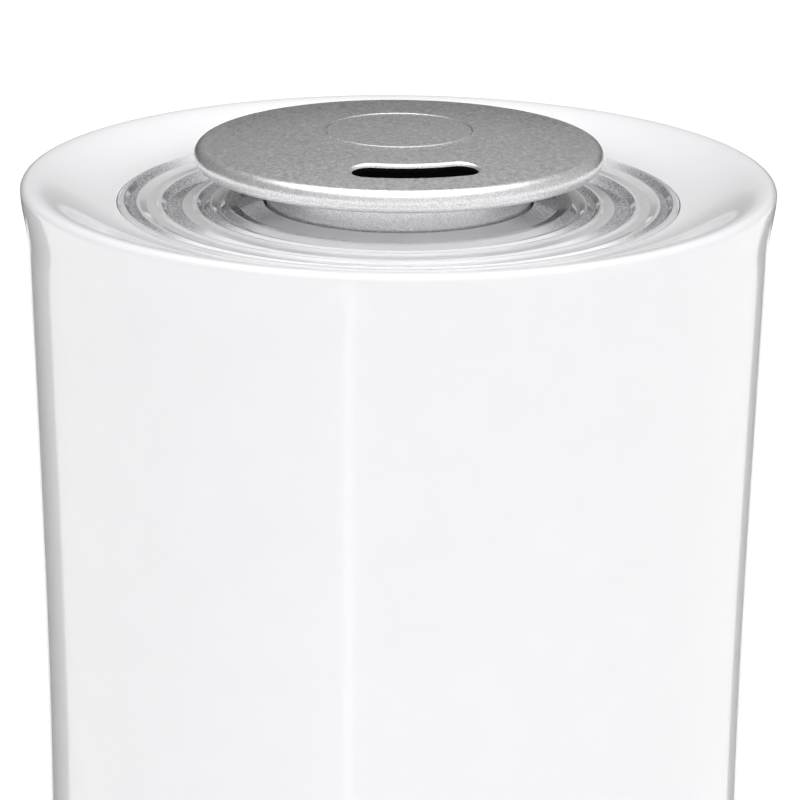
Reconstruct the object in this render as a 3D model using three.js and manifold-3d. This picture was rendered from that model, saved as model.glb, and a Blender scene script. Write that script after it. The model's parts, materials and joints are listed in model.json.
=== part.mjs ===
// Cool mist humidifier: an ultrasonic tower with a lift-off water tank and a turning mist nozzle.
// Millimetres, +Z up, origin at the centre of the footprint on the floor. The front faces -Y.
import * as THREE from "three";
import { mergeVertices } from "three/addons/utils/BufferGeometryUtils.js";
import Module from "manifold-3d";

const wasm = await Module();
wasm.setup();

const radians = THREE.MathUtils.degToRad;

// ---------------------------------------------------------------- driving dimensions
const RIM_RADIUS = 115; // the tank's widest circle, just under its crest
const RIM_HEIGHT = 340; // the tank's crest
const TAPER = Math.tan(radians(1.1)); // the whole wall narrows towards the floor
const SEAM_HEIGHT = 110; // the seam between the tank and the base
const HOUSING_BOTTOM = 4;
const DECK_LOW = 103.6; // the tank stands on this deck
const DECK_HIGH = 106.6;
const WALL = 3;
const GAP = 0.3; // clearance between pieces that touch
const PAST = 1; // how far a cutter passes a face, and joined parts run into each other

const CAP_X = 60; // axis of the tank cap and of the pin that opens its valve
const FAN_X = -54; // axis of the fan, its duct and the air spout
const GRIP_X = -62; // middle of the grip pocket
const FLOAT_X = 31;
const FLOAT_Y = 22;
const FLOAT_POST = 2.2; // radius of the post that guides the float
const BORE_RADIUS = 17.5; // the mist's way up, and the filling neck's bore

const BIG = 32; // segments of the large circles
const MEDIUM = 20;
const SMALL = 12;
const TINY = 8;

const wallRadius = (z) => RIM_RADIUS - (RIM_HEIGHT - z) * TAPER;
const innerRadius = (z) => wallRadius(z) - WALL;

// ---------------------------------------------------------------- materials
const look = (color, roughness, metalness = 0) =>
  new THREE.MeshStandardMaterial({ color, roughness, metalness });
const WHITE = look(0xf4f4f6, 0.28);
const CLEAR = look(0xe6e7ee, 0.12);
const SILVER = look(0x9b9c9d, 0.45, 0.35);
const BADGE = look(0xa4a5a6, 0.4, 0.35);
const DARK = look(0x17181a, 0.2);
const RUBBER = look(0x3b3c3f, 0.85);
const SILICONE = look(0xdcdde0, 0.6);
const BOARD = look(0x1d5a3a, 0.5);
const STEEL = look(0xb9bbbf, 0.3, 1);
const ALUMINIUM = look(0xc3c6ca, 0.35, 1);
const BLACK_PLASTIC = look(0x222326, 0.55);
const CERAMIC = look(0xe9e2d2, 0.8);
const FLOAT_FOAM = look(0xe8eef5, 0.5);

// ---------------------------------------------------------------- geometry helpers
// A closed three.js geometry as a solid whose faces point out.
function solid(geometry) {
  const bare = geometry.index ? geometry.toNonIndexed() : geometry.clone();
  bare.deleteAttribute("normal");
  bare.deleteAttribute("uv");
  const merged = mergeVertices(bare, 1e-4);
  const vertProperties = merged.attributes.position.array;
  const triVerts = new Uint32Array(merged.index.array);
  const made = () =>
    new wasm.Manifold(new wasm.Mesh({ numProp: 3, vertProperties, triVerts }));
  const first = made();
  if (first.volume() > 0) return first;
  triVerts.reverse();
  return made();
}

// A solid as a three.js geometry.
function geometryOf(made) {
  const mesh = made.getMesh();
  const points = new Float32Array(mesh.numVert * 3);
  for (let i = 0; i < mesh.numVert; i++) {
    const start = i * mesh.numProp;
    points.set(mesh.vertProperties.subarray(start, start + 3), i * 3);
  }
  const geometry = new THREE.BufferGeometry();
  geometry.setAttribute("position", new THREE.BufferAttribute(points, 3));
  geometry.setIndex(new THREE.BufferAttribute(mesh.triVerts, 1));
  const faceted = geometry.toNonIndexed();
  faceted.computeVertexNormals();
  return faceted;
}

// An outline of [radius, height] points turned round the Z axis. It is closed, or ends on the axis.
const turned = (outline, segments = BIG) =>
  solid(
    new THREE.LatheGeometry(
      outline.map(([r, z]) => new THREE.Vector2(r, z)),
      segments,
    ).rotateX(Math.PI / 2),
  );

// The points of a path of [radius, height], closed on its first point.
function closedOutline(path, divisions) {
  const points = path.getPoints(divisions).map((p) => [p.x, p.y]);
  return [...points, points[0]];
}

const ring = (inner, outer, low, high, segments = BIG) =>
  turned(
    [
      [inner, low],
      [outer, low],
      [outer, high],
      [inner, high],
      [inner, low],
    ],
    segments,
  );

const rod = (radius, low, high, segments = SMALL) =>
  solid(
    new THREE.CylinderGeometry(radius, radius, high - low, segments)
      .rotateX(Math.PI / 2)
      .translate(0, 0, (low + high) / 2),
  );

// A rod along Y, centred on x and z.
const rodAlongY = (radius, near, far, x, z, segments = SMALL) =>
  solid(
    new THREE.CylinderGeometry(radius, radius, far - near, segments).translate(
      x,
      (near + far) / 2,
      z,
    ),
  );

function block(from, to) {
  const size = to.map((value, axis) => value - from[axis]);
  const middle = to.map((value, axis) => (value + from[axis]) / 2);
  return solid(new THREE.BoxGeometry(...size).translate(...middle));
}

const prism = (shape, low, high, curveSegments = 3) =>
  solid(
    new THREE.ExtrudeGeometry(shape, {
      depth: high - low,
      bevelEnabled: false,
      curveSegments,
    }).translate(0, 0, low),
  );

// A shape drawn in x and z, extruded along Y.
const prismAlongY = (shape, near, far, curveSegments = 3) =>
  solid(
    new THREE.ExtrudeGeometry(shape, {
      depth: far - near,
      bevelEnabled: false,
      curveSegments,
    })
      .rotateX(Math.PI / 2)
      .translate(0, far, 0),
  );

function roundedRectangle(width, height, radius, x = 0, y = 0) {
  const shape = new THREE.Shape();
  const reachX = width / 2 - radius;
  const reachY = height / 2 - radius;
  const quarter = Math.PI / 2;
  shape.absarc(x + reachX, y - reachY, radius, -quarter, 0);
  shape.absarc(x + reachX, y + reachY, radius, 0, quarter);
  shape.absarc(x - reachX, y + reachY, radius, quarter, 2 * quarter);
  shape.absarc(x - reachX, y - reachY, radius, 2 * quarter, 3 * quarter);
  return shape;
}

const moved = (made, x, y = 0, z = 0) => made.translate([x, y, z]);
const joined = (...made) => made.reduce((all, one) => all.add(one));
const cutBy = (made, ...tools) =>
  tools.reduce((left, tool) => left.subtract(tool), made);
const times = (count, make) => Array.from({ length: count }, (_, i) => make(i));

// The four places at plus and minus reach in x and y.
const fourPlaces = (reach) => [
  [-reach, -reach],
  [reach, -reach],
  [reach, reach],
  [-reach, reach],
];

// One piece of the object in a group.
function piece(group, name, made, material) {
  const mesh = new THREE.Mesh(geometryOf(made), material);
  mesh.name = name;
  group.add(mesh);
  return mesh;
}

// ---------------------------------------------------------------- tank top, from the crest
const CREST_ROUND = 2.6; // radius of the crest's outer edge
const DISH_RADIUS = 86; // the dished top meets the ring insert here
const DISH_DEPTH = 7.2;
const SEAM_GAP = 0.4;
const TANK_BOTTOM = SEAM_HEIGHT + SEAM_GAP - RIM_HEIGHT;
const SOCKET_RADIUS = 41.2; // the nozzle's neck turns in this socket
const SOCKET_OUTER = SOCKET_RADIUS + WALL;
const SOCKET_FLOOR = -23;
const CHIMNEY_RADIUS = 20;
const SPIGOT_FIT = 0.4;
const SPIGOT_INNER = CHIMNEY_RADIUS + SPIGOT_FIT; // the sleeves that hold the chimney's two ends
const SPIGOT_OUTER = SPIGOT_INNER + WALL;
const SPIGOT_BOTTOM = -40;
const INSERT_UNDERSIDE = -11;

// The tank's outer wall and dished top, one moulding open at the bottom and in the middle.
function tankShell() {
  const outer = (z) => wallRadius(RIM_HEIGHT + z);
  const shoulder = -8;
  const path = new THREE.Path();
  path.moveTo(outer(TANK_BOTTOM), TANK_BOTTOM);
  path.lineTo(outer(-CREST_ROUND), -CREST_ROUND);
  const crestCentre = [RIM_RADIUS - CREST_ROUND, -CREST_ROUND];
  path.absarc(...crestCentre, CREST_ROUND, 0, Math.PI / 2);
  path.bezierCurveTo(106, 0, 100, -6.6, DISH_RADIUS, -DISH_DEPTH);
  path.lineTo(DISH_RADIUS, -DISH_DEPTH - WALL);
  path.quadraticCurveTo(
    102,
    -DISH_DEPTH - WALL,
    outer(shoulder) - WALL,
    shoulder,
  );
  path.lineTo(outer(TANK_BOTTOM) - WALL, TANK_BOTTOM);
  return turned(closedOutline(path, 3));
}

// The clear insert in the tank's top: the stepped rings round the nozzle's socket.
function ringInsert() {
  const edge = DISH_RADIUS - GAP;
  const inner = SOCKET_OUTER + GAP;
  const steppedRings = [
    [84, -6.6],
    [81.4, -8.4],
    [79.4, -7.3],
    [74, -8.2],
    [72.8, -7.6],
    [70.5, -9.2],
    [62, -7.9],
    [59, -9.4],
    [52.6, -7.6],
  ];
  return turned([
    [edge, -DISH_DEPTH],
    ...steppedRings,
    [inner, -DISH_DEPTH],
    [inner, INSERT_UNDERSIDE],
    [edge, INSERT_UNDERSIDE],
    [edge, -DISH_DEPTH],
  ]);
}

// The cup in which the nozzle's neck turns, with the sleeve for the chimney's upper end.
function nozzleSocket() {
  return turned([
    [SOCKET_OUTER, -DISH_DEPTH],
    [SOCKET_RADIUS, -DISH_DEPTH],
    [SOCKET_RADIUS, SOCKET_FLOOR],
    [BORE_RADIUS, SOCKET_FLOOR],
    [BORE_RADIUS, SOCKET_FLOOR - WALL],
    [SPIGOT_INNER, SOCKET_FLOOR - WALL],
    [SPIGOT_INNER, SPIGOT_BOTTOM],
    [SPIGOT_OUTER, SPIGOT_BOTTOM],
    [SPIGOT_OUTER, SOCKET_FLOOR - WALL],
    [SOCKET_OUTER, SOCKET_FLOOR - WALL],
    [SOCKET_OUTER, -DISH_DEPTH],
  ]);
}

// ---------------------------------------------------------------- tank bottom, from the floor
const PLATE_LOW = 120; // the tank's bottom plate
const PLATE_HIGH = PLATE_LOW + WALL;
const FUNNEL_INNER = 24;
const FUNNEL_OUTER = 26.5;
const FUNNEL_BOTTOM = 100; // a skirt dips towards the water round the mist well
const NECK_BOTTOM = 107; // free end of the filling neck
const NECK_RADIUS = 21;
const STANDING_RADIUS = 99; // outside of the ring that the tank stands on
const STANDING_BOTTOM = DECK_HIGH + GAP;
const STANDING_WALL = 2.5;
const GRIP_WIDTH = 60;
const GRIP_DEPTH = 46;
const GRIP_CORNER = 8;
const GRIP_WALL = 2.5;
const GRIP_TOP = 150;
const SEAT_FACE = 16.5; // the two seats of the grip bar face each other at plus and minus this y
const SEAT_DEPTH = 3.7;
const BAR_HEIGHT = 129;

// The tank's bottom plate, with the ring that it stands on.
function tankFloor() {
  const hole = (radius) =>
    rod(radius, PLATE_LOW - PAST, PLATE_HIGH + PAST, MEDIUM);
  const pocketHole = prism(
    roundedRectangle(
      GRIP_WIDTH + 2 * GAP,
      GRIP_DEPTH + 2 * GAP,
      GRIP_CORNER,
      GRIP_X,
    ),
    PLATE_LOW - PAST,
    PLATE_HIGH + PAST,
    2,
  );
  return cutBy(
    joined(
      rod(innerRadius(PLATE_LOW) - GAP, PLATE_LOW, PLATE_HIGH, BIG),
      ring(
        STANDING_RADIUS - STANDING_WALL,
        STANDING_RADIUS,
        STANDING_BOTTOM,
        PLATE_LOW + PAST,
      ),
    ),
    hole(FUNNEL_OUTER + GAP),
    moved(hole(NECK_RADIUS + GAP), CAP_X),
    pocketHole,
  );
}

// The stepped tube round the mist's way up: a skirt below the plate, a sleeve for the chimney above.
function mistFunnel() {
  const sleeveTop = PLATE_HIGH + 10;
  return turned(
    [
      [FUNNEL_INNER, FUNNEL_BOTTOM],
      [FUNNEL_OUTER, FUNNEL_BOTTOM],
      [FUNNEL_OUTER, PLATE_HIGH],
      [SPIGOT_OUTER, PLATE_HIGH],
      [SPIGOT_OUTER, sleeveTop],
      [SPIGOT_INNER, sleeveTop],
      [SPIGOT_INNER, PLATE_HIGH],
      [BORE_RADIUS, PLATE_HIGH],
      [BORE_RADIUS, PLATE_LOW],
      [FUNNEL_INNER, PLATE_LOW],
      [FUNNEL_INNER, FUNNEL_BOTTOM],
    ],
    MEDIUM,
  );
}

function fillingNeck() {
  return moved(
    ring(BORE_RADIUS, NECK_RADIUS, NECK_BOTTOM, PLATE_HIGH, MEDIUM),
    CAP_X,
  );
}

// The pocket for the fingers, open below, with a seat for each end of the grip bar.
function gripPocket() {
  const pocket = prism(
    roundedRectangle(
      GRIP_WIDTH - 2 * GRIP_WALL,
      GRIP_DEPTH - 2 * GRIP_WALL,
      GRIP_CORNER - GRIP_WALL,
      GRIP_X,
    ),
    PLATE_LOW - PAST,
    GRIP_TOP - GRIP_WALL,
    2,
  );
  const box = prism(
    roundedRectangle(GRIP_WIDTH, GRIP_DEPTH, GRIP_CORNER, GRIP_X),
    PLATE_LOW,
    GRIP_TOP,
    2,
  );
  const seats = [-1, 1].map((side) => {
    const wallFace = GRIP_DEPTH / 2 - GRIP_WALL + 0.5;
    const ends = [side * SEAT_FACE, side * wallFace].sort((a, b) => a - b);
    return block(
      [GRIP_X - 9, ends[0], BAR_HEIGHT - 6.5],
      [GRIP_X + 9, ends[1], BAR_HEIGHT + 6.5],
    );
  });
  return cutBy(
    joined(cutBy(box, pocket), ...seats),
    barOf(GAP, SEAT_FACE + SEAT_DEPTH),
  );
}

// The grip bar's round-cornered section, grown by a margin and reaching plus and minus half in y.
const barOf = (margin, half) =>
  prismAlongY(
    roundedRectangle(
      14 + 2 * margin,
      9 + 2 * margin,
      3.5 + margin,
      GRIP_X,
      BAR_HEIGHT,
    ),
    -half,
    half,
    2,
  );
const gripBar = () => barOf(0, SEAT_FACE + SEAT_DEPTH - GAP);

const CHIMNEY_TOP = RIM_HEIGHT - 28.9;
const SOCKET_UNDERSIDE = RIM_HEIGHT + SOCKET_FLOOR - WALL;
const mistChimney = () =>
  ring(BORE_RADIUS, CHIMNEY_RADIUS, PLATE_HIGH + GAP, CHIMNEY_TOP, MEDIUM);
const chimneySeal = () =>
  ring(
    BORE_RADIUS + GAP,
    CHIMNEY_RADIUS,
    CHIMNEY_TOP + GAP,
    SOCKET_UNDERSIDE - GAP,
    MEDIUM,
  );

// ---------------------------------------------------------------- nozzle, from the crest
const SLOT_HEADING = radians(6.5); // the slot looks a little to the right of the front
const DISC_ROUND = 3.5; // radius of the disc's rounded edge
const DISC_MIDDLE = 6.8; // height of that round's centre
const DISC_EDGE = 58.9; // radius at that round's centre
const DOME_RISE = 4.5;
const COVER_SHELL = 2;
const NECK_OUTER = 40.4;
const NECK_BORE = 37.5;
const NECK_FOOT = -20;
const BADGE_RADIUS = 22.1;
const BADGE_DEPTH = 0.9;
const SLOT_RADIUS = 44.6;
const SLOT_WIDTH = 12.4;
const SLOT_HALF_ANGLE = radians(16.3);

const domeHeight = (r) =>
  DISC_MIDDLE + DISC_ROUND + DOME_RISE * (1 - (r / DISC_EDGE) ** 2);
const alongDome = (from, to, steps, drop = 0) =>
  times(steps + 1, (i) => {
    const r = from + ((to - from) * i) / steps;
    return [r, domeHeight(r) - drop];
  });

// The mist slot's outline: an arc round the disc's centre with round ends, centred on -Y.
function slotShape() {
  const start = -Math.PI / 2 - SLOT_HALF_ANGLE;
  const end = -Math.PI / 2 + SLOT_HALF_ANGLE;
  const half = SLOT_WIDTH / 2;
  const at = (angle) => [
    SLOT_RADIUS * Math.cos(angle),
    SLOT_RADIUS * Math.sin(angle),
  ];
  const shape = new THREE.Shape();
  shape.absarc(0, 0, SLOT_RADIUS + half, start, end, false);
  shape.absarc(...at(end), half, end, end + Math.PI, false);
  shape.absarc(0, 0, SLOT_RADIUS - half, end, start, true);
  shape.absarc(...at(start), half, start + Math.PI, start + 2 * Math.PI, false);
  return shape;
}

// The domed shell with its rounded edge, badge recess and mist slot.
function nozzleCover() {
  const recessRadius = BADGE_RADIUS + GAP;
  const recessFloor = domeHeight(BADGE_RADIUS) - BADGE_DEPTH;
  const rimInner = 57.6;
  const edge = new THREE.Path();
  edge.absarc(
    DISC_EDGE,
    DISC_MIDDLE,
    DISC_ROUND,
    radians(80),
    -Math.PI / 2,
    true,
  );
  const shell = turned([
    [0, recessFloor],
    [recessRadius, recessFloor],
    ...alongDome(recessRadius, 57, 3),
    ...edge.getPoints(3).map((p) => [p.x, p.y]),
    [rimInner, DISC_MIDDLE - DISC_ROUND],
    [rimInner, DISC_MIDDLE],
    ...alongDome(55, 24, 2, COVER_SHELL),
    [0, recessFloor - COVER_SHELL],
  ]);
  return cutBy(shell, prism(slotShape(), 4, 16, 4));
}

function nozzleBadge() {
  const bottom = domeHeight(BADGE_RADIUS) - BADGE_DEPTH + GAP;
  return turned([
    [0, bottom],
    [BADGE_RADIUS, bottom],
    ...alongDome(BADGE_RADIUS, 0, 2),
  ]);
}

// The disc's lower plate, flared into the neck that turns in the socket.
function nozzleNeck() {
  const plateRadius = 57.3;
  const plateLow = DISC_MIDDLE - DISC_ROUND;
  const plateHigh = plateLow + 2;
  return turned([
    [NECK_BORE, NECK_FOOT],
    [NECK_OUTER, NECK_FOOT],
    [NECK_OUTER, plateLow],
    [plateRadius, plateLow],
    [plateRadius, plateHigh],
    [NECK_BORE, plateHigh],
    [NECK_BORE, NECK_FOOT],
  ]);
}

const glideRing = () => ring(36.5, 40.9, SOCKET_FLOOR + GAP, NECK_FOOT - GAP);

// ---------------------------------------------------------------- tank cap, round its own axis
const CAP_BOTTOM = 96;
const CAP_FLOOR = 99;
const CAP_SHOULDER = 104;
const CAP_TOP = 117;
const CAP_RADIUS = 25;
const VALVE_HOLE = 7;
const STEM_RADIUS = 2.5;
const VALVE_DISC = 103.9; // underside of the open valve's disc
const GUIDE_TOP = 117;

// The screw cap: a cup round the neck with finger grooves, and a hole in its floor for the valve.
function tankCap() {
  const skirtInner = NECK_RADIUS + 0.6;
  const grooves = times(8, (i) => {
    const angle = ((i + 0.5) * Math.PI) / 4;
    const reach = CAP_RADIUS + 1.4;
    return moved(
      rod(2.4, CAP_BOTTOM - PAST, CAP_TOP + PAST, TINY),
      reach * Math.cos(angle),
      reach * Math.sin(angle),
    );
  });
  const cup = turned(
    [
      [VALVE_HOLE, CAP_BOTTOM],
      [CAP_RADIUS, CAP_BOTTOM],
      [CAP_RADIUS, CAP_TOP],
      [skirtInner, CAP_TOP],
      [skirtInner, CAP_SHOULDER],
      [BORE_RADIUS, CAP_SHOULDER],
      [BORE_RADIUS, CAP_FLOOR],
      [VALVE_HOLE, CAP_FLOOR],
      [VALVE_HOLE, CAP_BOTTOM],
    ],
    MEDIUM,
  );
  return cutBy(cup, ...grooves);
}

const capGasket = () =>
  ring(
    BORE_RADIUS + 0.4,
    NECK_RADIUS + GAP,
    CAP_SHOULDER + GAP,
    NECK_BOTTOM - GAP,
    MEDIUM,
  );

// The cage that guides the valve's stem: a foot ring, three legs and a top plate.
function valveGuide() {
  const legs = times(3, (i) =>
    block([12, -2.5, 100], [15, 2.5, 116]).rotate([0, 0, 120 * i + 60]),
  );
  return joined(
    ring(12, BORE_RADIUS - GAP, CAP_FLOOR + GAP, CAP_FLOOR + 2.3, MEDIUM),
    ring(STEM_RADIUS + 0.8, 15, GUIDE_TOP - 2.2, GUIDE_TOP, MEDIUM),
    ...legs,
  );
}

// The valve stands open, because the base's pin holds its stem up.
const valveStem = () =>
  turned(
    [
      [0, 90.4],
      [STEM_RADIUS, 90.4],
      [STEM_RADIUS, VALVE_DISC],
      [9, VALVE_DISC],
      [9, VALVE_DISC + 1.4],
      [STEM_RADIUS, VALVE_DISC + 1.4],
      [STEM_RADIUS, 118],
      [0, 118],
    ],
    SMALL,
  );
const valveSeal = () =>
  ring(STEM_RADIUS + GAP, 9.4, 102.4, VALVE_DISC - GAP, SMALL);

// The valve spring's centre line.
class Coil extends THREE.Curve {
  getPoint(t, target = new THREE.Vector3()) {
    const turns = 3;
    const radius = 5.3;
    const angle = t * 2 * Math.PI * turns;
    return target.set(
      radius * Math.cos(angle),
      radius * Math.sin(angle),
      106.6 + 7.2 * t,
    );
  }
}

function valveSpring() {
  const wire = new THREE.Shape();
  wire.absarc(0, 0, 0.6, 0, 2 * Math.PI);
  return solid(
    new THREE.ExtrudeGeometry(wire, {
      steps: 30,
      curveSegments: 3,
      extrudePath: new Coil(),
    }),
  );
}

// The ceramic filter stands on the guide's plate, with a blind hole over the stem.
function filterCartridge() {
  const low = GUIDE_TOP + GAP;
  return turned(
    [
      [4, low],
      [15.6, low],
      [15.6, 122],
      [14.4, 123],
      [14.4, 163],
      [12.4, 165],
      [0, 165],
      [0, 124],
      [4, 124],
      [4, low],
    ],
    MEDIUM,
  );
}

// ---------------------------------------------------------------- base
const POOL_FLOOR = 84;
const POOL_RADIUS = 33; // half the width of the water pool
const POOL_WALL = 2.5;
const WELL_RADIUS = 25;
const WELL_FLOOR = 66.5;
const DISC_HOLE = 12.5;
const SPOUT_RADIUS = 11.5;
const SPOUT_OUTER = SPOUT_RADIUS + 2.5;
const SPOUT_TOP = 116;
const COVER_TOP = 7;
const SCREW_REACH = 68;
const FOOT_REACH = 58;
const BOARD_HEIGHT = 20;
const BLOWER_LOW = 16;
const BLOWER_HIGH = 36;
const BLOWER_BORE = 32.5;
const PANEL_HEIGHT = 58; // centre of the control panel
const PANEL_WIDTH = 98;
const PANEL_TALL = 46;
const INLET_HEIGHT = 24;

const panelOutline = (margin) =>
  roundedRectangle(
    PANEL_WIDTH + 2 * margin,
    PANEL_TALL + 2 * margin,
    6 + margin,
    0,
    PANEL_HEIGHT,
  );

// The base's outer shell with its panel opening, rear vents, inlet hole, deck ledge and screw bosses.
function baseHousing() {
  const ledge = 102.8;
  const shell = turned([
    [innerRadius(HOUSING_BOTTOM), HOUSING_BOTTOM],
    [wallRadius(HOUSING_BOTTOM), HOUSING_BOTTOM],
    [wallRadius(SEAM_HEIGHT), SEAM_HEIGHT],
    [innerRadius(SEAM_HEIGHT), SEAM_HEIGHT],
    [innerRadius(DECK_LOW - GAP), DECK_LOW - GAP],
    [ledge, DECK_LOW - GAP],
    [ledge, 101],
    [innerRadius(97), 97],
    [innerRadius(HOUSING_BOTTOM), HOUSING_BOTTOM],
  ]);
  const bossLow = 7.4;
  const bossHigh = 30;
  const bosses = fourPlaces(SCREW_REACH).map(([x, y]) => {
    const heading = THREE.MathUtils.radToDeg(Math.atan2(y, x));
    const rib = block([0, -1.5, bossLow], [11, 1.5, bossHigh]);
    return joined(
      rod(4.6, bossLow, bossHigh, TINY),
      rib.rotate([0, 0, heading]),
    )
      .translate([x, y, 0])
      .intersect(rod(107, 0, bossHigh + 1, BIG));
  });
  const pilots = fourPlaces(SCREW_REACH).map(([x, y]) =>
    moved(rod(2, bossLow - 1, 22, TINY), x, y),
  );
  const vents = times(7, (i) => {
    const x = (i - 3) * 8;
    return block([x - 1.5, 95, 52], [x + 1.5, 120, 78]);
  });
  return cutBy(
    joined(shell, ...bosses),
    ...pilots,
    ...vents,
    prismAlongY(panelOutline(0), -120, -80),
    rodAlongY(6.4, 95, 120, 0, INLET_HEIGHT),
  );
}

// The pool's plan: a slot-shaped outline from the mist well to the tank cap.
function poolPrism(radius, low, high) {
  const shape = new THREE.Shape();
  shape.absarc(CAP_X, 0, radius, -Math.PI / 2, Math.PI / 2);
  shape.absarc(0, 0, radius, Math.PI / 2, 1.5 * Math.PI);
  return prism(shape, low, high, 8);
}

// The deck that the tank stands on, with its locating ring and the air spout.
function baseDeck() {
  const registerTop = 113;
  const spout = (radius, low, high) =>
    moved(rod(radius, low, high, MEDIUM), FAN_X);
  return cutBy(
    joined(
      rod(innerRadius(DECK_LOW) - GAP, DECK_LOW, DECK_HIGH, BIG),
      ring(
        STANDING_RADIUS + 1,
        STANDING_RADIUS + 3.5,
        DECK_HIGH - PAST,
        registerTop,
      ),
      spout(SPOUT_OUTER, DECK_HIGH - PAST, SPOUT_TOP),
    ),
    poolPrism(
      POOL_RADIUS + POOL_WALL + GAP,
      DECK_LOW - PAST,
      DECK_HIGH + PAST,
    ),
    spout(SPOUT_RADIUS, DECK_LOW - PAST, SPOUT_TOP + PAST),
  );
}

// The pool with the mist well in its floor, the pin that opens the valve and the float's post.
function waterBasin() {
  const body = joined(
    poolPrism(POOL_RADIUS + POOL_WALL, POOL_FLOOR - POOL_WALL, DECK_HIGH),
    rod(
      WELL_RADIUS + POOL_WALL,
      WELL_FLOOR - POOL_WALL,
      POOL_FLOOR - PAST,
      MEDIUM,
    ),
  );
  const hollowed = cutBy(
    body,
    poolPrism(POOL_RADIUS, POOL_FLOOR, DECK_HIGH + PAST),
    rod(WELL_RADIUS, WELL_FLOOR, POOL_FLOOR + PAST, MEDIUM),
    rod(DISC_HOLE, WELL_FLOOR - POOL_WALL - PAST, WELL_FLOOR + PAST, MEDIUM),
  );
  return joined(
    hollowed,
    moved(rod(STEM_RADIUS, POOL_FLOOR - PAST, 90), CAP_X),
    moved(rod(FLOAT_POST, POOL_FLOOR - PAST, 102), FLOAT_X, FLOAT_Y),
  );
}

// A post at each pairing of the xs with plus and minus y.
const posts = (xs, y, high) =>
  xs.flatMap((x) =>
    [-y, y].map((side) => moved(rod(2.6, 6, high - GAP, TINY), x, side)),
  );

// The bottom cover with its round air inlet grille, foot recesses, screw holes and posts.
function bottomCover() {
  const grille = times(6, (i) => {
    const offset = (i - 2.5) * 9;
    const reach = Math.sqrt(29 ** 2 - offset ** 2);
    return block(
      [FAN_X + offset - 2.5, -reach, 3],
      [FAN_X + offset + 2.5, reach, 8],
    );
  });
  const recesses = fourPlaces(FOOT_REACH).map(([x, y]) =>
    moved(rod(8.3, 3, 5.2), x, y),
  );
  const holes = fourPlaces(SCREW_REACH).flatMap(([x, y]) => [
    moved(rod(4.3, 3, 5.8, TINY), x, y),
    moved(rod(2, 5, 8, TINY), x, y),
  ]);
  return cutBy(
    joined(
      rod(innerRadius(HOUSING_BOTTOM) - GAP, HOUSING_BOTTOM, COVER_TOP, BIG),
      ...posts([-11, 43], 18, BOARD_HEIGHT),
      ...posts([57, 87], 32, BOARD_HEIGHT),
      ...posts([FAN_X - 29, FAN_X + 29], 29, BLOWER_LOW),
    ),
    ...grille,
    ...recesses,
    ...holes,
  );
}

const rubberFoot = () =>
  turned(
    [
      [0, 0],
      [7.2, 0],
      [8, 0.8],
      [8, 4.9],
      [0, 4.9],
    ],
    SMALL,
  );

const coverScrew = () =>
  turned(
    [
      [0, 4.4],
      [3.9, 4.4],
      [3.9, 5.5],
      [1.6, 5.5],
      [1.6, 18],
      [0, 18],
    ],
    TINY,
  );

// The piezo disc hangs under the well's hole between a rubber seal and a retainer plate.
const transducerSeal = () => ring(10.4, 12.2, 63.2, 66.2, MEDIUM);
const transducerDisc = () => rod(10.1, 64.4, 65.6, MEDIUM);
const transducerRetainer = () => ring(7, 18, 60.6, 62.9, MEDIUM);

const boardTop = BOARD_HEIGHT + 1.6;
const driverBoard = () =>
  block([-14, -22, BOARD_HEIGHT], [46, 22, boardTop]);
const powerBoard = () => block([52, -38, BOARD_HEIGHT], [92, 38, boardTop]);
const powerChoke = () =>
  moved(ring(4, 10, boardTop + GAP, 30, MEDIUM), 71, 17);
const powerCapacitor = () => moved(rod(6.5, boardTop + GAP, 42), 71, -17);

function driverHeatsink() {
  const foot = boardTop + GAP;
  const fins = times(5, (i) =>
    block([18, -13 + 6 * i, foot + 2], [38, -11 + 6 * i, 34]),
  );
  return joined(block([18, -13, foot], [38, 13, foot + 2.5]), ...fins);
}

// The blower's square frame with its bore, and the struts and plate that carry the motor.
function fanFrame() {
  const strutTop = BLOWER_LOW + 2;
  const square = prism(
    roundedRectangle(70, 70, 5),
    BLOWER_LOW,
    BLOWER_HIGH,
    2,
  );
  const struts = times(4, (i) =>
    block([-33.5, -1.5, BLOWER_LOW], [33.5, 1.5, strutTop]).rotate([
      0,
      0,
      45 * i,
    ]),
  );
  const bored = cutBy(
    square,
    rod(BLOWER_BORE, BLOWER_LOW - PAST, BLOWER_HIGH + PAST, MEDIUM),
  );
  return moved(
    joined(bored, ...struts, rod(13.5, BLOWER_LOW, strutTop, SMALL)),
    FAN_X,
  );
}

const fanMotor = () => moved(rod(10.8, 18.3, 30), FAN_X);

// The impeller: a cup over the motor and seven pitched blades.
function fanImpeller() {
  const hubInner = 11.6;
  const hubOuter = 13.6;
  const pitch = 38;
  const hub = turned(
    [
      [0, 30.8],
      [hubInner, 30.8],
      [hubInner, 19.5],
      [hubOuter, 19.5],
      [hubOuter, 33],
      [0, 33],
    ],
    MEDIUM,
  );
  const blades = times(7, (i) =>
    block([12.6, -8, -0.7], [30.8, 8, 0.7])
      .rotate([pitch, 0, 0])
      .translate([0, 0, 26])
      .rotate([0, 0, (360 * i) / 7]),
  );
  return moved(joined(hub, ...blades), FAN_X);
}

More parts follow.
